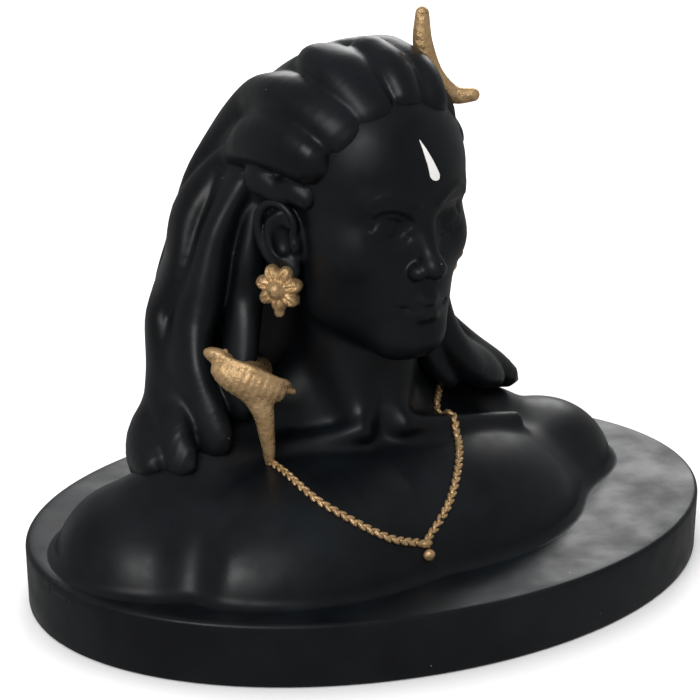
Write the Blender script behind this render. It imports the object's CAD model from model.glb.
import math

import bpy
import numpy as np
from mathutils import Matrix, Vector


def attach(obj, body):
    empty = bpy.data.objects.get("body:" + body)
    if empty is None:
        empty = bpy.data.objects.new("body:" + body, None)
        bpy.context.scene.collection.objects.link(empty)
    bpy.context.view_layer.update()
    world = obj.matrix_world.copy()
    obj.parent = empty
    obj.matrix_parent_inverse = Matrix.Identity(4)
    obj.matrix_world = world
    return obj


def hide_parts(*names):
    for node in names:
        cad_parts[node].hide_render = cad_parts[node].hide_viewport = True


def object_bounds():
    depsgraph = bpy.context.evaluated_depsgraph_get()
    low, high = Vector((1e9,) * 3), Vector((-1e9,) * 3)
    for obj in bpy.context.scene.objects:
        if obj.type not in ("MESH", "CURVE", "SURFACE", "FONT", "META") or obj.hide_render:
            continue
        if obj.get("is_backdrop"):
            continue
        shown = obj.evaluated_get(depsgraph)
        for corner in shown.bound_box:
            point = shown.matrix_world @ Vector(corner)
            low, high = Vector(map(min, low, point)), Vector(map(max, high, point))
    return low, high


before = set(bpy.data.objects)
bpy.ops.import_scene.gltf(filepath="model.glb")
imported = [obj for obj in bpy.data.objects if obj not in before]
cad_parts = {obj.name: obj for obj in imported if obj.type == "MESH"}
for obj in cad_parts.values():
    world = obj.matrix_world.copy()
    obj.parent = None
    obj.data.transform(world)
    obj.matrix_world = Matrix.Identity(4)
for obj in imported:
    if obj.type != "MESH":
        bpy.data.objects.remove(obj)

# A black cast resin bust of a meditating deity on an oval plinth, with gold painted ornaments.
# The forms are worked out in millimetres, as the solids are, and become meshes in metres.
CAD_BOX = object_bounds()
MM = 0.001

PLINTH_WIDTH, PLINTH_DEPTH, PLINTH_HEIGHT = 140.0, 98.0, 12.5
HEAD_CENTRE = np.array([-2.2, -0.3, 75.0])
HEAD_TURN = math.radians(13)
CAP_CENTRE, CAP_RADII = np.array([0, 4.5, 5.5]), np.array([17.8, 21.5, 20])


# Forms: each takes points (n, 3) and gives a rough distance in millimetres, negative inside

def mix(a, b, t):
    return a + (b - a) * t


def clamp(x, low, high):
    return np.minimum(np.maximum(x, low), high)


def ellipsoid(p, centre, radii):
    centre = np.asarray(centre, np.float32)
    radii = np.asarray(radii, np.float32)
    q = (p - centre) / radii
    near = np.sqrt((q * q).sum(1))
    slope = np.sqrt(((q / radii) ** 2).sum(1))
    return near * (near - 1) / np.maximum(slope, 1e-6)


def bone(p, start, end, start_radius, end_radius):
    start = np.asarray(start, np.float32)
    d = np.asarray(end, np.float32) - start
    q = p - start
    t = clamp(q @ d / (d @ d), 0, 1)
    gap = q - t[:, None] * d
    return np.sqrt((gap * gap).sum(1)) - mix(start_radius, end_radius, t)


def blend(a, b, width):
    h = np.maximum(width - np.abs(a - b), 0) / width
    return np.minimum(a, b) - h * h * width / 4


def carve(a, b, width):
    return -blend(-a, b, width)


def mirrored(p):
    m = p.copy()
    m[:, 0] = np.abs(m[:, 0])
    return m


TO_WORLD = np.array([[math.cos(HEAD_TURN), -math.sin(HEAD_TURN), 0],
                     [math.sin(HEAD_TURN), math.cos(HEAD_TURN), 0], [0, 0, 1]])


def from_head(q):
    return np.asarray(q) @ TO_WORLD.T + HEAD_CENTRE


def to_head(p):
    return (p - HEAD_CENTRE.astype(np.float32)) @ TO_WORLD.astype(np.float32)


def beyond(p, place, reach):
    """Whether every one of these points is further than this from a place."""
    low, high = p.min(0), p.max(0)
    gap = np.maximum(np.maximum(low - place, place - high), 0)
    return (gap * gap).sum() > reach * reach


def polyline(p, points, radii):
    """A chain of bones."""
    d = None
    for a, b, ra, rb in zip(points[:-1], points[1:], radii[:-1], radii[1:]):
        piece = bone(p, a, b, ra, rb)
        d = piece if d is None else np.minimum(d, piece)
    return d


def curve(points, count):
    """Evenly spaced points on a centripetal Catmull-Rom curve."""
    p = [np.asarray(x, float) for x in points]
    p = [2 * p[0] - p[1]] + p + [2 * p[-1] - p[-2]]
    fine = []
    for a, b, c, d in zip(p[:-3], p[1:-2], p[2:-1], p[3:]):
        t1 = max(np.linalg.norm(b - a), 1e-6) ** 0.5
        t2 = t1 + max(np.linalg.norm(c - b), 1e-6) ** 0.5
        t3 = t2 + max(np.linalg.norm(d - c), 1e-6) ** 0.5
        for t in np.linspace(t1, t2, 24, endpoint=False):
            ab = mix(a, b, t / t1)
            bc = mix(b, c, (t - t1) / (t2 - t1))
            cd = mix(c, d, (t - t2) / (t3 - t2))
            fine.append(mix(mix(ab, bc, t / t2), mix(bc, cd, (t - t1) / (t3 - t1)), (t - t1) / (t2 - t1)))
    fine.append(p[-2])
    fine = np.array(fine)
    run = np.concatenate([[0], np.cumsum(np.linalg.norm(np.diff(fine, axis=0), axis=1))])
    at = np.linspace(0, run[-1], count)
    return np.stack([np.interp(at, run, fine[:, k]) for k in range(3)], 1)


# Meshes from forms

def sampled(form, points, size=9.0):
    """A form at scattered points, cell by cell, so that each call meets only what is near it."""
    keys = np.floor(points / size).astype(np.int64)
    keys = keys[:, 0] * 1000003 + keys[:, 1] * 1009 + keys[:, 2]
    order = np.argsort(keys, kind="stable")
    edges = np.flatnonzero(np.diff(keys[order])) + 1
    out = np.empty(len(points), np.float32)
    for group in np.split(order, edges):
        out[group] = form(points[group])
    return out


def field_of(form, low, high, step):
    """The form on a grid, worked out in full only in the blocks near its surface."""
    size = 16
    count = np.ceil((high - low) / step / size).astype(int)
    shape = count * size + 1
    field = np.full(shape, 9.0, np.float32)
    axes = [np.arange(size + 1, dtype=np.float32) * step] * 3
    block = np.stack(np.meshgrid(*axes, indexing="ij"), -1).reshape(-1, 3)
    starts = np.stack(np.meshgrid(*[np.arange(n) for n in count], indexing="ij"), -1).reshape(-1, 3)
    middles = (low + (starts + 0.5) * size * step).astype(np.float32)
    rough = sampled(form, middles, size * step * 1.01)
    reach = 0.5 * math.sqrt(3) * size * step * 1.35 + 1
    for start, value in zip(starts, rough):
        i, j, k = start * size
        here = np.s_[i:i + size + 1, j:j + size + 1, k:k + size + 1]
        if abs(value) > reach:
            field[here] = value
            continue
        points = block + (low + start * size * step).astype(np.float32)
        field[here] = form(points).reshape([size + 1] * 3)
    return field


def nets(field, low, step):
    """Surface nets: one vertex in each cell that the surface crosses, one quad for each crossed edge."""
    inside = field < 0
    n = np.array(field.shape) - 1
    total = np.zeros(n, np.uint8)
    corners = [(i, j, k) for i in (0, 1) for j in (0, 1) for k in (0, 1)]
    for i, j, k in corners:
        total += inside[i:i + n[0], j:j + n[1], k:k + n[2]]
    cells = np.argwhere((total > 0) & (total < 8))
    ids = np.full(n, -1, np.int32)
    ids[tuple(cells.T)] = np.arange(len(cells))
    place = np.zeros((len(cells), 3), np.float32)
    hits = np.zeros(len(cells), np.float32)
    values = {c: field[cells[:, 0] + c[0], cells[:, 1] + c[1], cells[:, 2] + c[2]] for c in corners}
    for a in corners:
        for axis in range(3):
            if a[axis]:
                continue
            b = tuple(a[k] + (k == axis) for k in range(3))
            va, vb = values[a], values[b]
            crossed = (va < 0) != (vb < 0)
            t = np.where(crossed, va / np.where(crossed, va - vb, 1), 0)
            spot = np.tile(np.array(a, np.float32), (len(cells), 1))
            spot[:, axis] = t
            place += np.where(crossed[:, None], spot, 0)
            hits += crossed
    vertices = (cells + place / hits[:, None]) * step + low
    quads = []
    for axis in range(3):
        u, v = (axis + 1) % 3, (axis + 2) % 3
        first = [slice(1, -1)] * 3
        first[axis] = slice(0, -1)
        second = list(first)
        second[axis] = slice(1, None)
        a, b = inside[tuple(first)], inside[tuple(second)]
        edge = np.argwhere(a != b)
        out = a[tuple(edge.T)]
        edge[:, u] += 1
        edge[:, v] += 1
        ring = []
        for du, dv in ((0, 0), (1, 0), (1, 1), (0, 1)):
            cell = edge.copy()
            cell[:, u] -= du
            cell[:, v] -= dv
            ring.append(ids[tuple(cell.T)])
        ring = np.stack(ring, 1)
        quads.append(np.where(out[:, None], ring, ring[:, ::-1]))
    return vertices.astype(np.float32), np.concatenate(quads)


def settle(form, vertices, quads, rounds, step):
    """Evens out the vertices of a surface and puts them back on the form."""
    ends = np.concatenate([quads[:, [0, 1]], quads[:, [1, 2]], quads[:, [2, 3]], quads[:, [3, 0]]])
    ends = np.concatenate([ends, ends[:, ::-1]])
    count = np.bincount(ends[:, 0], minlength=len(vertices)).astype(np.float32)
    h = 0.25 * step
    axes = np.eye(3, dtype=np.float32)
    for _ in range(rounds):
        sums = [np.bincount(ends[:, 0], vertices[ends[:, 1], k], len(vertices)) for k in range(3)]
        mean = np.stack(sums, 1)
        vertices = mix(vertices, (mean / count[:, None]).astype(np.float32), 0.6)
        here = sampled(form, vertices)
        slope = np.stack([sampled(form, vertices + h * axis) - here for axis in axes], 1) / h
        steep = np.maximum((slope * slope).sum(1), 0.2)
        vertices = vertices - clamp(here / steep, -step, step)[:, None] * slope
    return vertices


def mesh_object(name, vertices, faces, material, smooth=True):
    """An object from vertices in millimetres and faces of one size."""
    mesh = bpy.data.meshes.new(name)
    faces = np.asarray(faces, np.int32)
    sides = faces.shape[1]
    mesh.vertices.add(len(vertices))
    mesh.vertices.foreach_set("co", (np.asarray(vertices, np.float32) * MM).ravel())
    mesh.loops.add(faces.size)
    mesh.loops.foreach_set("vertex_index", faces.ravel())
    mesh.polygons.add(len(faces))
    mesh.polygons.foreach_set("loop_start", np.arange(0, faces.size, sides, dtype=np.int32))
    mesh.update(calc_edges=True)
    mesh.validate()
    mesh.polygons.foreach_set("use_smooth", [smooth] * len(mesh.polygons))
    mesh.materials.append(material)
    made = bpy.data.objects.new(name, mesh)
    bpy.context.scene.collection.objects.link(made)
    return made


def sculpt(name, form, low, high, step, material, rounds=2):
    low, high = np.array(low, float), np.array(high, float)
    step = step * 1
    vertices, quads = nets(field_of(form, low, high, step), low, step)
    vertices = settle(form, vertices, quads, rounds, step)
    return mesh_object(name, vertices, quads, material)


# The skin of the head, in a frame at its centre that looks along -Y

def head_mass(q):
    """The head with its sockets, cheeks, nose and chin, before the finer features."""
    m = mirrored(q)
    d = ellipsoid(q, [0, 3.5, 5.5], [17.2, 21.5, 20])
    d = blend(d, ellipsoid(q, [0, -7, 9], [14.4, 12.4, 14]), 7)
    d = blend(d, ellipsoid(q, [0, -5, -7], [13.8, 14, 17]), 5)
    d = blend(d, ellipsoid(m, [9.2, -8.8, -5.4], [5.6, 7.4, 5.8]), 5)
    d = blend(d, ellipsoid(m, [9.4, -1.5, -14.2], [4.8, 8.2, 6.4]), 6)
    d = blend(d, bone(m, [9.6, -3.5, -17.2], [4.2, -13.4, -22.8], 2.6, 3.2), 5)
    d = blend(d, ellipsoid(q, [0, -12.4, -15.6], [8.4, 8, 7.6]), 5)
    d = blend(d, ellipsoid(q, [0, -15.2, -22.2], [5.6, 5.2, 4.4]), 4)
    d = carve(d, ellipsoid(m, [7.2, -22.4, -0.2], [5.2, 5.4, 3.4]), 3.2)
    d = blend(d, bone(m, [3, -17, 3.8], [9.8, -14.6, 4.6], 1.8, 1.6), 3)
    bridge = np.array([[0, -16.9, 3.4], [0, -18.8, -1.6], [0, -21.4, -6.6]])
    d = blend(d, polyline(q, bridge, [1.7, 1.45, 1.7]), 2.8)
    d = blend(d, ellipsoid(m, [7, -13.1, -0.6], [4.4, 4.5, 3.4]), 0.8)
    d = blend(d, ellipsoid(q, [0, -21.9, -7.8], [2.1, 2.4, 2]), 1.8)
    return blend(d, ellipsoid(m, [2.7, -19.8, -8.6], [1.35, 2.3, 1.6]), 1)


def on_form(form, points, lift=0.0):
    """Settles places onto a form, or a little off it, and gives the way out of it."""
    p = np.asarray(points, np.float32)
    h = 0.2
    for _ in range(12):
        here = form(p)
        slope = np.stack([form(p + h * axis) - here for axis in np.eye(3, dtype=np.float32)], 1)
        slope /= np.linalg.norm(slope, axis=1)[:, None]
        p = p + ((lift - here) * 0.8)[:, None] * slope
    return p, slope


def face_line(points, count, lift=0.0):
    return on_form(head_mass, curve([(x, -19.0, z) for x, z in points], count), lift)[0]


LASH = face_line([(2.9, -0.9), (4.6, -2), (6.9, -2.6), (9.2, -2.2), (11.2, -0.9)], 12)
LID_FOLD = face_line([(3.1, 0.5), (4.9, 1.8), (7.1, 2.3), (9.4, 1.6), (11.3, 0.1)], 12)
BROW = face_line([(2.4, 4.4), (5, 5.7), (8.2, 6.2), (11, 5.2), (12.6, 3.6)], 12, -0.25)
WING = face_line([(3.4, -6.9), (4.3, -8), (4.2, -9.4), (3.1, -10.2)], 8)
MOUTH_WIDE, MOUTH_HIGH = 5.3, -15.4


def head_form(q):
    d = head_mass(q)
    if beyond(q, np.array([0, -14, -8]), 22):
        return d
    m = mirrored(q)
    d = blend(d, polyline(m, BROW, np.linspace(0.62, 0.34, 12)), 0.7)
    d = carve(d, polyline(m, LID_FOLD, [0.16] * 12), 0.8)
    d = blend(d, polyline(m, LASH + [0, -0.05, 0.2], [0.3] * 12), 0.5)
    d = carve(d, polyline(m, LASH + [0, -0.1, -0.45], [0.2] * 12), 0.4)
    d = carve(d, polyline(m, WING, [0.1] * 8), 0.7)
    d = carve(d, ellipsoid(m, [1.35, -21, -10], [0.75, 1.3, 0.9]), 0.5)
    d = carve(d, bone(q, [0, -21.2, -10.9], [0, -21.5, -12.6], 0.35, 0.5), 1.2)
    upper = bone(m, [1, -19.8, -13.9], [MOUTH_WIDE - 0.3, -17.4, MOUTH_HIGH + 0.3], 1.4, 0.5)
    upper = blend(upper, ellipsoid(q, [0, -20.9, -14.3], [1.2, 0.9, 0.9]), 0.9)
    lower = bone(m, [0.8, -19.8, -17], [MOUTH_WIDE - 1.2, -18, MOUTH_HIGH - 0.6], 1.6, 0.6)
    d = blend(d, upper, 1)
    d = blend(d, lower, 1.1)
    parting = [(0, -21.6, MOUTH_HIGH - 0.15), (2.4, -21, MOUTH_HIGH), (4.2, -19.5, MOUTH_HIGH),
               (MOUTH_WIDE, -18.1, MOUTH_HIGH + 0.25)]
    d = carve(d, polyline(m, curve(parting, 8), np.linspace(0.3, 0.24, 8)), 0.5)
    return carve(d, ellipsoid(q, [0, -21.9, -19.8], [3, 1.1, 0.8]), 2.4)


# The neck, shoulders and chest, in the bust's own frame

BODY_MIDDLE = np.array([-6.4, -0.6, 0], np.float32)
BODY_TURN = math.radians(10)
BODY_AXES = np.array([[math.cos(BODY_TURN), -math.sin(BODY_TURN), 0],
                      [math.sin(BODY_TURN), math.cos(BODY_TURN), 0], [0, 0, 1]], np.float32)
NECK_MIDDLE = np.array([-3, 0, 0], np.float32)


def torso_form(p):
    q = (p - BODY_MIDDLE) @ BODY_AXES
    m = mirrored(q)
    n = p - NECK_MIDDLE
    d = ellipsoid(q, [0, 1, 2], [59, 37.4, 28])
    d = blend(d, ellipsoid(m, [16, -13, 12], [25, 20, 16]), 10)
    d = blend(d, ellipsoid(q, [-44.5, 3, 10], [14.5, 17, 15.5]), 8)
    d = blend(d, ellipsoid(q, [48.5, -1, 10.5], [15.5, 15, 14.5]), 8)
    d = blend(d, bone(m, [4, 6, 37], [37, 3, 23.5], 7.5, 5), 8)
    d = blend(d, bone(n, [0, 4, 28], [1, 0, 60], 12.4, 10.8), 8)
    n = mirrored(n)
    d = blend(d, bone(n, [4.6, -12.6, 33.5], [32, -5, 27.5], 1.3, 1.2), 4)
    d = blend(d, bone(n, [2.6, -9.4, 35.6], [9.2, 2.4, 58], 1.6, 2.6), 6)
    d = carve(d, bone(q, [-41, -14, 26], [-48, -23, 12], 0.5, 1.4), 7)
    d = carve(d, bone(p, [63, -5.5, 9.4], [40, -19.5, 9], 5.4, 4), 1.6)
    return carve(d, ellipsoid(n, [0, -14.6, 36.5], [1.8, 1.8, 2.4]), 3.5)


EAR_PLACE = np.array([18.3, 0.4, -4], np.float32)
EAR_TURN, EAR_LEAN = math.radians(25), math.radians(9)


def ear_form(q):
    """A plate that stands off the head, with a rolled rim, an inner fold, a hollow, two flaps and a lobe."""
    m = mirrored(q) - EAR_PLACE
    back = np.array([math.sin(EAR_TURN), math.cos(EAR_TURN), 0], np.float32)
    out = np.array([math.cos(EAR_TURN), -math.sin(EAR_TURN), 0], np.float32)
    u, v = m @ back, m[:, 2]
    c, s = math.cos(EAR_LEAN), math.sin(EAR_LEAN)
    e = np.stack([u * c - v * s, u * s + v * c, m @ out], 1)
    d = ellipsoid(e, [0, 0, -0.5], [4.4, 6.6, 1.3])
    d = blend(d, ellipsoid(e, [-1.6, -0.6, -2.8], [3, 5, 2.6]), 1.5)
    rim = curve([(-1.6, 0.2, 0.3), (-3.3, 1, 0.8), (-3.6, 3.6, 1), (-1.6, 6.2, 1), (1.4, 6.6, 1),
                 (3.8, 4.4, 1), (4.4, 1, 0.9), (3.6, -2.6, 0.8), (2, -5.2, 0.5)], 24)
    d = blend(d, polyline(e, rim, np.linspace(0.75, 0.95, 24)), 0.5)
    fold = curve([(-0.4, 4.3, 0.4), (1.8, 3, 0.7), (2.3, 0.4, 0.8), (1.6, -2.4, 0.8), (-0.2, -4, 0.7)], 12)
    d = blend(d, polyline(e, fold, np.linspace(0.7, 0.95, 12)), 0.7)
    d = carve(d, ellipsoid(e, [-0.4, -0.6, 0.9], [2, 3, 1.6]), 0.6)
    d = blend(d, ellipsoid(e, [-3, -1.4, 0.5], [1.1, 1.7, 1.1]), 0.8)
    return blend(d, ellipsoid(e, [-0.6, -6, 0.2], [2.5, 2.5, 1.4]), 0.9)


def skin_form(p):
    q = to_head(p)
    if p[:, 2].min() > 76:
        d = head_form(q)
    elif p[:, 2].max() < 36:
        d = torso_form(p)
    else:
        d = blend(torso_form(p), head_form(q), 2.5)
    if not beyond(mirrored(q), EAR_PLACE, 12):
        d = blend(d, ear_form(q), 0.7)
    foot = np.maximum(p[:, 2] - (PLINTH_HEIGHT - 0.06), d - 3)
    d = blend(d, foot, 1.8)
    return np.maximum(d, PLINTH_HEIGHT - 2 - p[:, 2])


# Hair

def on_cap(around, up, lift):
    rx, ry, rz = CAP_RADII + lift
    around, up = math.radians(around), math.radians(up)
    return from_head(CAP_CENTRE + np.array([rx * math.cos(up) * math.sin(around),
                                            -ry * math.cos(up) * math.cos(around), rz * math.sin(up)]))


FALL_MIDDLE = np.array([-6, 4])


def fall_shape(z):
    """How far the fall of hair reaches at a height, to the right, to the left and to the back."""
    down = clamp((85 - z) / 65, 0, 1)
    return 22.5 + 15 * down ** 0.75, 17 + 20 * down ** 2.2, 20 + 10 * down ** 1.2


def on_fall(around, z, lift):
    right, left, deep = (float(v) for v in fall_shape(z))
    turn = math.radians(around)
    across = (left if around > 0 else right) + lift
    return np.array([*(FALL_MIDDLE + [across * math.sin(turn), (deep + lift) * math.cos(turn)]), z])


def outward(p):
    """Away from the middle of the head, or of the fall below it."""
    out = p - np.stack([np.full(len(p), FALL_MIDDLE[0]), np.full(len(p), FALL_MIDDLE[1]),
                        np.minimum(p[:, 2], 78) - 12 * clamp((50 - p[:, 2]) / 20, 0, 1)], 1)
    return out / np.linalg.norm(out, axis=1)[:, None]


class Lock:
    """A flattened tapering rope of hair along a curve, with soft grooves that wind round it."""

    def __init__(self, points, count, seed, wide, thick, grooves=3, lean=0.0, tip=0.2, root=0.1, groove=0.07,
                 soft=1.3):
        self.line = curve(points, count).astype(np.float32)
        t = np.linspace(0, 1, count)
        start = np.sqrt(1 - (1 - np.minimum(t / root, 1)) ** 2)
        end = np.sqrt(1 - clamp((t - 1 + tip) / tip, 0, 1) ** 2)
        size = start * end * (1 + 0.07 * np.sin(8 * t + seed))
        self.wide = np.maximum(np.interp(t, np.linspace(0, 1, len(wide)), wide) * size, 0.1)
        self.thick = np.maximum(np.interp(t, np.linspace(0, 1, len(thick)), thick) * size, 0.1)
        tangent = np.gradient(self.line, axis=0)
        self.tangent = tangent / np.linalg.norm(tangent, axis=1)[:, None]
        out = outward(self.line)
        out -= self.tangent * (out * self.tangent).sum(1)[:, None]
        out /= np.linalg.norm(out, axis=1)[:, None]
        beside = np.cross(self.tangent, out)
        self.out = out * math.cos(lean) + beside * math.sin(lean)
        self.beside = beside * math.cos(lean) - out * math.sin(lean)
        steps = np.linalg.norm(np.diff(self.line, axis=0), axis=1)
        self.wind = 0.14 * np.concatenate([[0], np.cumsum(steps)]) + seed
        self.grooves, self.groove, self.soft = grooves, groove, soft
        self.reach = np.maximum(self.wide, self.thick)
        for key, value in vars(self).items():
            if isinstance(value, np.ndarray):
                setattr(self, key, value.astype(np.float32))

    def __call__(self, p, low, high):
        middle, size = (low + high) / 2, np.linalg.norm(high - low) / 2 + 3
        a, b = self.line[:-1], self.line[1:]
        away = np.linalg.norm((a + b) / 2 - middle, axis=1)
        far = away - np.linalg.norm(b - a, axis=1) / 2 - self.reach[1:] * 1.2
        chosen = np.flatnonzero(far < size)
        if not len(chosen):
            return None
        a, step = a[chosen].astype(np.float32), (b - a)[chosen].astype(np.float32)
        size = (step * step).sum(1)
        along = p @ step.T - (a * step).sum(1)
        t = clamp(along / size, 0, 1)
        gap = -2 * (p @ a.T) + (a * a).sum(1) - 2 * t * along + t * t * size
        pick = gap.argmin(1)
        t = t[np.arange(len(p)), pick]
        i = chosen[pick]

        def along_lock(values):
            return mix(values[i], values[i + 1], t if values.ndim == 1 else t[:, None])

        q = p - along_lock(self.line)
        wide, thick = along_lock(self.wide), along_lock(self.thick)
        x = (q * along_lock(self.beside)).sum(1) / wide
        y = (q * along_lock(self.out)).sum(1) / thick
        z = (q * self.tangent[i]).sum(1) / thick
        near = np.sqrt(x * x + y * y + z * z)
        steep = np.sqrt((x / wide) ** 2 + (y / thick) ** 2 + (z / thick) ** 2)
        gap = near * (near - 1) / np.maximum(steep, 1e-6)
        wave = np.cos(self.grooves * np.arctan2(y, x) + along_lock(self.wind))
        return gap - self.groove * thick * wave * np.minimum(near, 1)


SWEEPS = [
    [(3, 38), (6, 60), (14, 78), (80, 88)],
    [(20, 33), (37, 55), (74, 69), (125, 66)],
    [(35, 22), (60, 40), (98, 44), (136, 30)],
    [(49, 12), (74, 21), (102, 19), (124, 4)],
]
SIDE_WAVE = [(-15.6, -6.8, 3.4), (-17.6, -3, 5.4), (-18.9, 1, 4.9), (-20.2, 5, 6.4), (-20.8, 9, 5.6)]
NEAR_FALLS = [
    [(-27.5, 9.5, 71), (-31, 9, 61), (-34, 8.5, 51), (-36.5, 3.5, 42), (-35.5, -3, 35.5), (-33, -9, 31.8)],
    [(-30, 16, 72), (-33, 15, 62), (-36, 17, 52), (-38, 12, 42), (-41, 4, 35), (-42, -4, 31), (-40, -10, 30)],
    [(-24, 23, 78), (-28, 23, 66), (-31, 25, 54), (-34, 20, 43), (-39, 13, 35), (-45, 6, 31), (-47, -7, 28)],
]
FAR_FALLS = [
    [(12, 13, 66), (13, 9, 55), (15, 4.5, 46), (20, 2.5, 39.5), (26.5, 3.5, 35), (30.5, 3.5, 32.5)],
    [(11, 19, 66), (13, 17, 54), (17, 14, 44.5), (24, 10.5, 38), (31.5, 9, 32.5), (36.5, 8, 30)],
]
INNER_FALLS = [
    [(-21.5, 6, 76), (-23.5, 4.5, 66), (-24.5, 5, 57), (-27, 1, 48), (-29.5, -2.5, 41), (-28, -5.5, 36)],
    [(10, 8, 62), (11, 5, 52), (12.5, 2.5, 43), (15.5, 1.5, 37.5), (19, 1.5, 34.5)],
]


def hang(around, top, end, seed):
    """Places down the fall that sway a little to the sides and in and out."""
    places = []
    for i in range(6):
        sway, lift = 5 * math.sin(1.9 * i + seed), 1.1 * math.sin(2.3 * i + seed) - 3.2
        places.append(on_fall(around + sway, mix(top, end, i / 5), lift))
    return places


def crown_lock(k):
    """A lock from the hairline: the outer ones go over the ear and down the fall."""
    side = 1 if k >= 0 else -1
    lift = -0.8 if k > 1 else 1.4
    points = [on_cap(side * around, up, lift) for around, up in SWEEPS[abs(k)]]
    wide, thick = [4.2, 5.4, 5.8], [4, 5, 5.2]
    if abs(k) < 2:
        return Lock(points, 24, k + 5, wide, thick, tip=0.3, root=0.13, lean=0.25 * side, soft=0.8)
    points += FAR_FALLS[3 - k] if side > 0 else NEAR_FALLS[4 + k]
    wide += [6.2, 6.6, 6, 4.8] if side > 0 else [7, 8, 7.2, 5.6]
    thick += [4.6, 4.4, 4, 3.4]
    return Lock(points, 56, k + 5, wide, thick, tip=0.09, root=0.05, groove=0.05, soft=1.2)


def back_lock(k):
    around = -48 + 21 * k
    points = [on_cap(180 - around * 0.8, 58, -1), on_cap(180 - around * 0.9, 28, 0)]
    points += hang(around, 72, 19 if k % 2 else 16, 2.2 * k)
    return Lock(points, 44, 2 * k, [5, 6.6, 7.4, 7.4, 6], [4, 4.8, 5, 4.6, 3.6], tip=0.12)


def coil_lock():
    """The knot of hair at the back of the crown."""
    tilt = math.radians(-28)
    points = []
    for i in range(15):
        t = i / 14
        angle = 2 * math.pi * 1.75 * t - 1.2
        ring = 8.6 * mix(1, 0.36, t ** 1.4)
        x, y, z = ring * math.cos(angle), ring * math.sin(angle), mix(-2, 2.6, t)
        y, z = y * math.cos(tilt) - z * math.sin(tilt), y * math.sin(tilt) + z * math.cos(tilt)
        points.append(from_head(np.array([x, y, z]) + [0, 11, 22]))
    return Lock(points, 60, 1, [5, 4], [5, 4])


def make_locks():
    locks = [crown_lock(k) for k in range(-3, 4)]
    locks.append(Lock([on_cap(-112, 8, 0)] + NEAR_FALLS[0], 40, 2.5, [4, 6.6, 7.6, 7, 5],
                      [3, 4.2, 4.4, 3.8, 3.2], tip=0.12, groove=0.05))
    for fall in INNER_FALLS:
        locks.append(Lock(fall, 32, 4.2, [2.6, 3.6, 4.2, 4.4, 3.6], [2.2, 3, 3.2, 3.2, 2.6], tip=0.16))
    for side in (-1, 1):
        wave = [from_head(np.array(q) * [-side, 1, 1]) for q in SIDE_WAVE]
        locks.append(Lock(wave, 24, 1, [2.2, 2.8, 3], [1.4, 1.8, 1.8], tip=0.3))
    locks += [back_lock(k) for k in range(6)]
    return locks + [coil_lock()]


LOCKS = make_locks()


def fall_form(p):
    """The body of the fall: a bell behind the neck, cut off in front."""
    right, left, deep = (v - 2.6 for v in fall_shape(p[:, 2]))
    dx, dy = p[:, 0] - FALL_MIDDLE[0], p[:, 1] - FALL_MIDDLE[1]
    across = np.where(dx < 0, right, left)
    around = np.sqrt((dx / across) ** 2 + (dy / deep) ** 2)
    d = (around - 1) * np.minimum(across, deep) * 0.9
    front = 5 - 0.05 * np.minimum(dx, 0) - p[:, 1] + np.where(dx > 0, 0.15 * dx, 0)
    d = carve(d, -front, 5)
    d = carve(d, 84 - p[:, 2], 8)
    return carve(d, p[:, 2] - 17, 6)


def hair_form(p):
    low, high = p.min(0), p.max(0)
    d = ellipsoid(to_head(p), [0, 6.8, 7], CAP_RADII + 1)
    d = blend(d, fall_form(p), 5)
    for lock in LOCKS:
        one = lock(p, low, high)
        if one is not None:
            d = blend(d, one, lock.soft)
    return np.maximum(d, PLINTH_HEIGHT - 2 - p[:, 2])


# Ornaments

CRESCENT_CENTRE, CRESCENT_YAW = np.array([15.5, -5.7, 25.6], np.float32), math.radians(-37.7)
MOON = curve([(-5.2, 0, 9.1), (-5, 0, 3.4), (-2.9, 0, -2.7), (1, 0, -6.1), (4.5, 0, -6.1)], 26)


def crescent_form(p):
    """A crescent with blunt horns, flattened from front to back."""
    q = to_head(p) - CRESCENT_CENTRE
    c, s = math.cos(CRESCENT_YAW), math.sin(CRESCENT_YAW)
    flat = np.stack([q[:, 0] * c + q[:, 1] * s, (q[:, 1] * c - q[:, 0] * s) * 1.2, q[:, 2]], 1)
    return polyline(flat, MOON, 1.3 + 0.8 * np.sin(np.linspace(0, math.pi, 26)))


COBRA_FOOT = np.array([-26.4, -12.6, 30.4])
COBRA_AXES = np.array([[0.926, -0.378, 0], [-0.378, -0.926, 0], [0, 0, 1]], np.float32)


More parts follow.
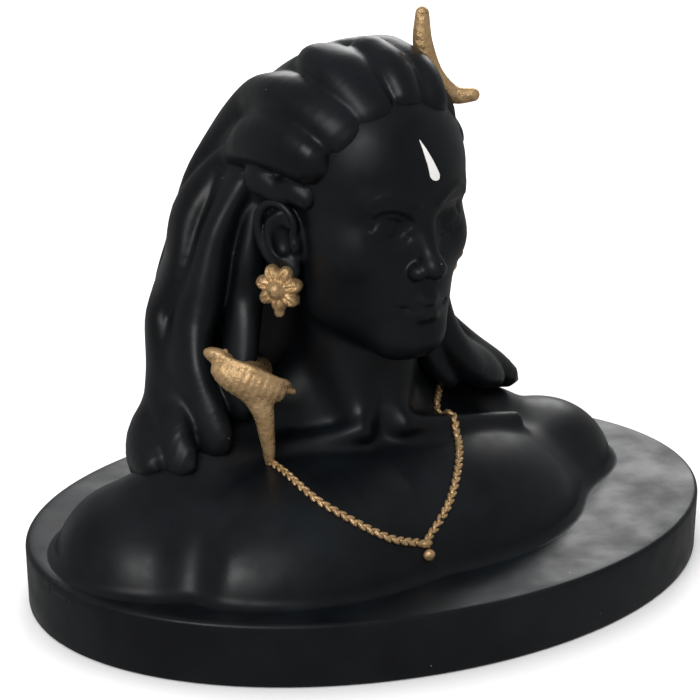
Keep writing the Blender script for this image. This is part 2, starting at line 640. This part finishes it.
def cobra_form(p):
    """A cobra that comes out of the hair: a belly stem, a cupped hood with a rolled rim, and a small head."""
    q = (p - COBRA_FOOT.astype(np.float32)) @ COBRA_AXES.T
    stem = curve([(0.1, -0.4, -1.4), (0, 0.1, 2), (-0.4, 0.5, 6), (-1, 0.6, 10.5), (-3, -0.5, 15)], 20)
    width = np.interp(np.linspace(0, 1, 20), [0, 0.15, 0.6, 1], [0.7, 1.1, 1.8, 3])
    d = polyline(q, stem, width)
    lean = math.radians(-24)
    r = q - np.array([-3.4, -0.6, 16.4], np.float32)
    r = np.stack([r[:, 0] * math.cos(lean) + r[:, 2] * math.sin(lean), r[:, 1],
                  r[:, 2] * math.cos(lean) - r[:, 0] * math.sin(lean)], 1)
    tip = math.radians(38)
    r = np.stack([r[:, 0], r[:, 1] * math.cos(tip) + r[:, 2] * math.sin(tip),
                  r[:, 2] * math.cos(tip) - r[:, 1] * math.sin(tip)], 1)
    shell = ellipsoid(r, [0, 0, -0.4], [7.4, 4, 3.7])
    shell = carve(shell, ellipsoid(r, [0.3, 0.3, 1.7], [7.2, 3, 3.7]), 0.4)
    ribs = 0.06 * np.cos(r[:, 0] * 5) * clamp(1 - r[:, 2] / 2, 0, 1)
    d = blend(d, shell + ribs, 1)
    ring = np.radians(np.linspace(0, 360, 37))
    rim = np.stack([7.1 * np.cos(ring), 3.7 * np.sin(ring), 0.5 + 0.9 * np.cos(ring) ** 2], 1)
    d = blend(d, polyline(r, rim, 0.62 + 0.12 * np.sin(5 * ring)), 0.5)
    d = blend(d, bone(r, [6.4, -2.2, 1.2], [8.8, -2.6, 1.6], 0.9, 0.6), 0.8)
    head = r - np.array([-6.6, 0, 1.5], np.float32)
    d = blend(d, ellipsoid(head, [0, 0, 0], [3.1, 2.1, 1.5]), 0.8)
    eye = head.copy()
    eye[:, 1] = np.abs(eye[:, 1])
    d = blend(d, ellipsoid(eye, [0.6, 1.3, 1], [0.55, 0.55, 0.55]), 0.2)
    body = curve([(-3.6, -2.6, 15), (-4, -7, 14.6), (-3.6, -12, 13.6), (-2.6, -16, 12)], 12)
    return blend(d, polyline(q, body, np.linspace(2.4, 2.8, 12)), 1)


def earring_form(side):
    """A rosette set on the lobe: a boss, a ring of petals turned a little to the front, and a bead below."""
    centre = np.array([19.7, -0.7, -13.3], np.float32)
    turn_out = math.radians(32)
    out = np.array([math.cos(turn_out), -math.sin(turn_out), 0], np.float32)
    back = np.array([math.sin(turn_out), math.cos(turn_out), 0], np.float32)

    def form(p):
        q = to_head(p)
        q[:, 0] *= side
        q = q - centre
        q = np.stack([q @ out, q @ back, q[:, 2]], 1)
        d = ellipsoid(q, [0.9, 0, 0], [2.4, 1.9, 1.9])
        for k in range(7):
            angle = 2 * math.pi * (k + 0.5) / 7
            y, z = math.sin(angle), math.cos(angle)
            spun = np.stack([q[:, 0], q[:, 1] * z - q[:, 2] * y, q[:, 1] * y + q[:, 2] * z], 1)
            petal = ellipsoid(spun, [0, 0, 2.8], [2, 1.5, 1.9])
            d = blend(d, carve(petal, bone(spun, [1.9, 0, 1], [1.5, 0, 5], 0.3, 0.3), 0.3), 0.3)
        d = blend(d, ellipsoid(q, [-1, 0, 0.6], [1.6, 3, 3]), 0.5)
        return blend(d, ellipsoid(q, [0.2, 0, -4.8], [1, 1, 1]), 0.4)
    return form


CHAIN_LOW = [-3.3, -32.9, 18.1]
CHAIN_SIDES = [
    [[-26.1, -12.2, 29.9], [-21.6, -26.5, 26.9], [-11.5, -33, 21.1], CHAIN_LOW],
    [CHAIN_LOW, [4.2, -27.3, 23.3], [11.7, -14.7, 29.3], [12.6, -8, 32.6], [14.4, 2, 33]],
]


def bead(centre, axes, radii, columns=10, rows=7):
    """A ball squashed along three directions: its vertices and triangles."""
    up = np.pi * np.arange(1, rows) / rows
    turn = 2 * np.pi * np.arange(columns) / columns
    rings = np.stack([np.outer(np.cos(up), np.ones(columns)), np.outer(np.sin(up), np.cos(turn)),
                      np.outer(np.sin(up), np.sin(turn))], -1).reshape(-1, 3)
    shape = np.concatenate([rings, [[1, 0, 0], [-1, 0, 0]]])
    vertices = centre + (shape * radii) @ axes
    last = (rows - 2) * columns
    tip, tail = len(rings), len(rings) + 1
    quads = [(i * columns + j, (i + 1) * columns + j, (i + 1) * columns + (j + 1) % columns,
              i * columns + (j + 1) % columns) for i in range(rows - 2) for j in range(columns)]
    caps = [(j, (j + 1) % columns, tip) for j in range(columns)]
    caps += [(last + (j + 1) % columns, last + j, tail) for j in range(columns)]
    return vertices, triangles(quads) + caps


def chain_mesh():
    """Two strands of slanting links, like a plait, with a knot and a drop where they meet."""
    vertices, faces = [], []

    def add(piece):
        start = sum(len(v) for v in vertices)
        vertices.append(piece[0])
        faces.extend(tuple(start + k for k in face) for face in piece[1])

    for places in CHAIN_SIDES:
        line = curve(places, 300)
        length = np.linalg.norm(np.diff(line, axis=0), axis=1).sum()
        count = int(length / 0.82)
        line, out = on_form(torso_form, curve(places, count), 0.2)
        along = np.gradient(line, axis=0)
        along /= np.linalg.norm(along, axis=1)[:, None]
        across = np.cross(out, along)
        for k in range(count):
            side = 1 if k % 2 else -1
            slant = math.radians(24 * side)
            way = along[k] * math.cos(slant) + across[k] * math.sin(slant)
            axes = np.stack([way, np.cross(out[k], way), out[k]])
            add(bead(line[k] + across[k] * 0.22 * side + out[k] * 0.1, axes, [1.15, 0.44, 0.5]))
    low, _ = on_form(torso_form, [CHAIN_LOW], 0.4)
    add(bead(low[0], np.eye(3), [1.3, 0.8, 0.8], 14, 9))
    drop, _ = on_form(torso_form, [[CHAIN_LOW[0], CHAIN_LOW[1] - 0.8, CHAIN_LOW[2] - 2]], 0.5)
    add(bead(drop[0], np.eye(3), [1.15, 1, 1.15], 16, 10))
    return np.concatenate(vertices), faces


# The plinth

def plinth_mesh():
    """An oval slab with rounded edges, from the middle of its foot round to the middle of its top."""
    columns = 288
    turn = 2 * np.pi * np.arange(columns) / columns
    bend = np.radians(np.linspace(0, 90, 6))
    rows = [(inset, 0) for inset in (46, 30, 12)]
    rows += [(0.6 * (1 - math.sin(a)), 0.6 * (1 - math.cos(a))) for a in bend]
    rows += [(0, z) for z in (3, 6, 9)]
    rows += [(0.9 * (1 - math.cos(a)), PLINTH_HEIGHT - 0.9 * (1 - math.sin(a))) for a in bend]
    rows += [(inset, PLINTH_HEIGHT) for inset in (2, 4, 8, 14, 22, 34, 46)]
    vertices = [np.stack([(PLINTH_WIDTH / 2 - inset) * np.cos(turn),
                          (PLINTH_DEPTH / 2 - inset) * np.sin(turn),
                          np.full(columns, z)], 1) for inset, z in rows]
    faces = [(i * columns + j, i * columns + (j + 1) % columns, (i + 1) * columns + (j + 1) % columns,
              (i + 1) * columns + j) for i in range(len(rows) - 1) for j in range(columns)]
    vertices = np.concatenate(vertices + [[[0, 0, 0], [0, 0, PLINTH_HEIGHT]]])
    last = (len(rows) - 1) * columns
    foot, top = len(vertices) - 2, len(vertices) - 1
    caps = [((j + 1) % columns, j, foot) for j in range(columns)]
    caps += [(last + j, last + (j + 1) % columns, top) for j in range(columns)]
    return vertices, triangles(faces) + caps


def triangles(quads):
    return [t for a, b, c, d in quads for t in ((a, b, c), (a, c, d))]


# Materials

class Graph:
    """A material and short ways to add nodes to it."""

    def __init__(self, name):
        self.material = bpy.data.materials.new(name)
        self.material.use_nodes = True
        self.nodes, self.links = self.material.node_tree.nodes, self.material.node_tree.links
        self.shader = self.nodes["Principled BSDF"]
        self.place = self.add("ShaderNodeTexCoord").outputs["Object"]

    def add(self, kind, inputs=(), **settings):
        node = self.nodes.new(kind)
        for key, value in settings.items():
            setattr(node, key, value)
        for key, value in dict(inputs).items():
            if isinstance(value, bpy.types.NodeSocket):
                self.links.new(value, node.inputs[key])
            else:
                node.inputs[key].default_value = value
        return node

    def math(self, operation, *values, clamped=False):
        node = self.add("ShaderNodeMath", dict(enumerate(values)), operation=operation, use_clamp=clamped)
        return node.outputs[0]

    def noise(self, scale, detail=4, rough=0.55, place=None):
        inputs = {"Vector": place or self.place, "Scale": scale, "Detail": detail, "Roughness": rough}
        return self.add("ShaderNodeTexNoise", inputs).outputs["Fac"]

    def span(self, value, low, high, out_low=0.0, out_high=1.0):
        node = self.add("ShaderNodeMapRange", {"Value": value, "From Min": low, "From Max": high,
                                               "To Min": out_low, "To Max": out_high}, clamp=True)
        return node.outputs["Result"]

    def mix(self, factor, a, b):
        node = self.add("ShaderNodeMix", {"Factor": factor}, data_type="RGBA")
        for key, value in ((6, a), (7, b)):
            if isinstance(value, bpy.types.NodeSocket):
                self.links.new(value, node.inputs[key])
            else:
                node.inputs[key].default_value = (*value, 1)
        return node.outputs[2]

    def bump(self, height, strength, distance, under=None):
        inputs = {"Height": height, "Strength": strength, "Distance": distance}
        if under:
            inputs["Normal"] = under
        return self.add("ShaderNodeBump", inputs).outputs["Normal"]

    def specks(self, scale, size, share):
        """Small round dots, on a share of the cells."""
        cells = self.add("ShaderNodeTexVoronoi", {"Vector": self.place, "Scale": scale, "Randomness": 1.0})
        near = self.math("LESS_THAN", cells.outputs["Distance"], size)
        pick = self.add("ShaderNodeSeparateColor", {"Color": cells.outputs["Color"]}).outputs["Red"]
        return self.math("MULTIPLY", near, self.math("LESS_THAN", pick, share))

    def plug(self, name, value):
        if isinstance(value, bpy.types.NodeSocket):
            self.links.new(value, self.shader.inputs[name])
        elif isinstance(value, tuple):
            self.shader.inputs[name].default_value = (*value, 1)
        else:
            self.shader.inputs[name].default_value = value


def black_resin(name, mark=False):
    """Satin black paint on cast resin: cloudy, with fine grain and pale dust."""
    g = Graph(name)
    clouds = g.span(g.noise(55, 5, 0.62), 0.36, 0.64)
    colour = g.mix(clouds, (0.0014, 0.0018, 0.0027), (0.004, 0.0056, 0.0072))
    dust = g.specks(330, 0.035, 0.1)
    colour = g.mix(g.math("MULTIPLY", dust, 0.7), colour, (0.3, 0.3, 0.3))
    rough = g.span(g.noise(120, 4), 0.32, 0.68, 0.32, 0.5)
    grain = g.noise(2600, 3, 0.6)
    height = g.math("ADD", g.math("MULTIPLY", g.noise(260, 3), 0.8), g.math("MULTIPLY", grain, 0.25))
    if mark:
        paint = teardrop(g)
        colour = g.mix(paint, colour, (0.83, 0.82, 0.8))
        height = g.math("ADD", height, g.math("MULTIPLY", paint, 0.6))
    g.plug("Base Color", colour)
    g.plug("Roughness", rough)
    g.plug("Specular IOR Level", 0.26)
    g.plug("Normal", g.bump(height, 0.35, 0.00012))
    return g.material


def teardrop(g):
    """The painted mark on the forehead: a leaning drop, a little uneven, read from where a point lies."""
    turned = g.add("ShaderNodeVectorRotate", {"Vector": g.place, "Center": tuple(HEAD_CENTRE * MM),
                                              "Angle": -HEAD_TURN}, rotation_type="Z_AXIS").outputs[0]
    local = g.add("ShaderNodeVectorMath", {0: turned, 1: tuple(HEAD_CENTRE * MM)}, operation="SUBTRACT")
    part = g.add("ShaderNodeSeparateXYZ", {0: local.outputs[0]})
    x, y, z = part.outputs
    rise = g.math("MULTIPLY", g.math("SUBTRACT", z, 0.0093), 1000.0)
    side = g.math("ADD", g.math("MULTIPLY", x, 1000.0), g.math("MULTIPLY_ADD", rise, 0.36, -1.1))
    below = g.math("MINIMUM", rise, 0.0)
    gap = g.math("SQRT", g.math("ADD", g.math("MULTIPLY", side, side), g.math("MULTIPLY", below, below)))
    left = g.math("SUBTRACT", 1.0, g.math("DIVIDE", g.math("MAXIMUM", rise, 0.0), 6.4))
    girth = g.math("MULTIPLY", g.math("POWER", g.math("MAXIMUM", left, 0.0), 0.85), 1.15)
    uneven = g.math("MULTIPLY", g.math("SUBTRACT", g.noise(700, 2), 0.5), 0.3)
    edge = g.math("ADD", g.math("SUBTRACT", gap, girth), uneven)
    inside = g.span(edge, 0.04, -0.04)
    high = g.math("LESS_THAN", rise, 6.4)
    front = g.math("LESS_THAN", y, -0.01)
    return g.math("MULTIPLY", inside, g.math("MULTIPLY", front, high))


def gold_paint(name):
    """Gold leaf paint: crinkled, bright on the high places, worn to black in specks."""
    g = Graph(name)
    crinkle = g.add("ShaderNodeTexVoronoi", {"Vector": g.place, "Scale": 900.0}).outputs["Distance"]
    folds = g.noise(700, 6, 0.7)
    colour = g.mix(g.noise(300, 4), (0.42, 0.25, 0.11), (0.8, 0.55, 0.29))
    bare = g.span(g.noise(520, 6, 0.7), 0.61, 0.66)
    g.plug("Base Color", g.mix(bare, colour, (0.02, 0.014, 0.01)))
    g.plug("Metallic", g.span(bare, 0, 1, 0.75, 0))
    g.plug("Roughness", g.span(folds, 0.3, 0.7, 0.18, 0.4))
    height = g.math("ADD", g.math("MULTIPLY", crinkle, 0.5), folds)
    g.plug("Normal", g.bump(height, 0.85, 0.00035))
    return g.material


def camera():
    yaw, pitch = math.radians(22.216), math.radians(-20.223)
    forward = Vector((math.sin(yaw) * math.cos(pitch), math.cos(yaw) * math.cos(pitch), math.sin(pitch)))
    data = bpy.data.cameras.new("camera")
    data.lens, data.sensor_width, data.clip_start = 92.57, 36, 0.01
    made = bpy.data.objects.new("camera", data)
    made.location = Vector((-129.21, -304.39, 166.34)) * MM
    made.rotation_euler = forward.to_track_quat("-Z", "Y").to_euler()
    bpy.context.scene.collection.objects.link(made)
    bpy.context.scene.camera = made


def area(name, place, aim, size, power, mirrored=True):
    data = bpy.data.lights.new(name, "AREA")
    data.shape, data.size, data.size_y = "RECTANGLE", size[0], size[1]
    data.energy = power
    made = bpy.data.objects.new(name, data)
    made.visible_glossy = mirrored
    made.location = Vector(place)
    made.rotation_euler = (Vector(aim) - Vector(place)).to_track_quat("-Z", "Y").to_euler()
    bpy.context.scene.collection.objects.link(made)


camera()
resin = black_resin("black_resin")
marked_resin = black_resin("black_resin_marked", mark=True)
gold = gold_paint("gold_paint")
skin = sculpt("bust_skin", skin_form, [-70, -42, 10], [66, 42, 104], 0.6, marked_resin)
hair = sculpt("bust_hair", hair_form, [-56, -24, 10], [44, 44, 110], 0.6, resin)
crescent = sculpt("crescent", crescent_form, [-4, -14, 84], [24, 16, 112], 0.35, gold)
cobra = sculpt("cobra", cobra_form, [-44, -26, 26], [-16, 4, 58], 0.3, gold)
earrings = [sculpt(f"earring_{'left' if side > 0 else 'right'}", earring_form(side), low, high, 0.25, gold)
            for side, low, high in ((-1, [-30, -12, 50], [-14, 6, 68]), (1, [8, -4, 50], [25, 15, 68]))]
chain = mesh_object("chain", *chain_mesh(), gold)
plinth = mesh_object("plinth_slab", *plinth_mesh(), black_resin("black_plinth"))
SLOTS = {"plinth": [plinth], "bust": [skin, hair], "gold_paint": [crescent, cobra, chain, *earrings]}
for slot, pieces in SLOTS.items():
    for piece in pieces:
        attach(piece, "root")
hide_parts("bust")
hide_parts("plinth")
bpy.context.scene.view_settings.view_transform = "Standard"

world = bpy.data.worlds.new("world")
bpy.context.scene.world = world
world.use_nodes = True
world.node_tree.nodes["Background"].inputs["Color"].default_value = (1, 1, 1, 1)
world.node_tree.nodes["Background"].inputs["Strength"].default_value = 0.3
area("sky", (0, 0.2, 1.5), (0, 0, 0), (2.4, 2.4), 38, mirrored=False)
area("key", (-0.6, -0.55, 0.6), (0, 0, 0.06), (0.4, 0.4), 4)
area("back", (0.5, 0.9, 0.5), (0, 0, 0.03), (0.7, 0.4), 5)
FLOOR_REACH = 3000
paper = Graph("paper")
paper.plug("Base Color", paper.mix(paper.noise(6), (0.86, 0.86, 0.86), (0.9, 0.9, 0.9)))
paper.plug("Roughness", 0.8)
corners = np.array([[-1, -1, 0], [1, -1, 0], [1, 1, 0], [-1, 1, 0]]) * FLOOR_REACH
floor = mesh_object("floor", corners, [[0, 1, 2, 3]], paper.material)
floor.visible_glossy = False
floor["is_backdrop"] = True

boxes = {"cad": CAD_BOX, "visual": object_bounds()}
{name: [list(map(float, corner)) for corner in box] for name, box in boxes.items()}
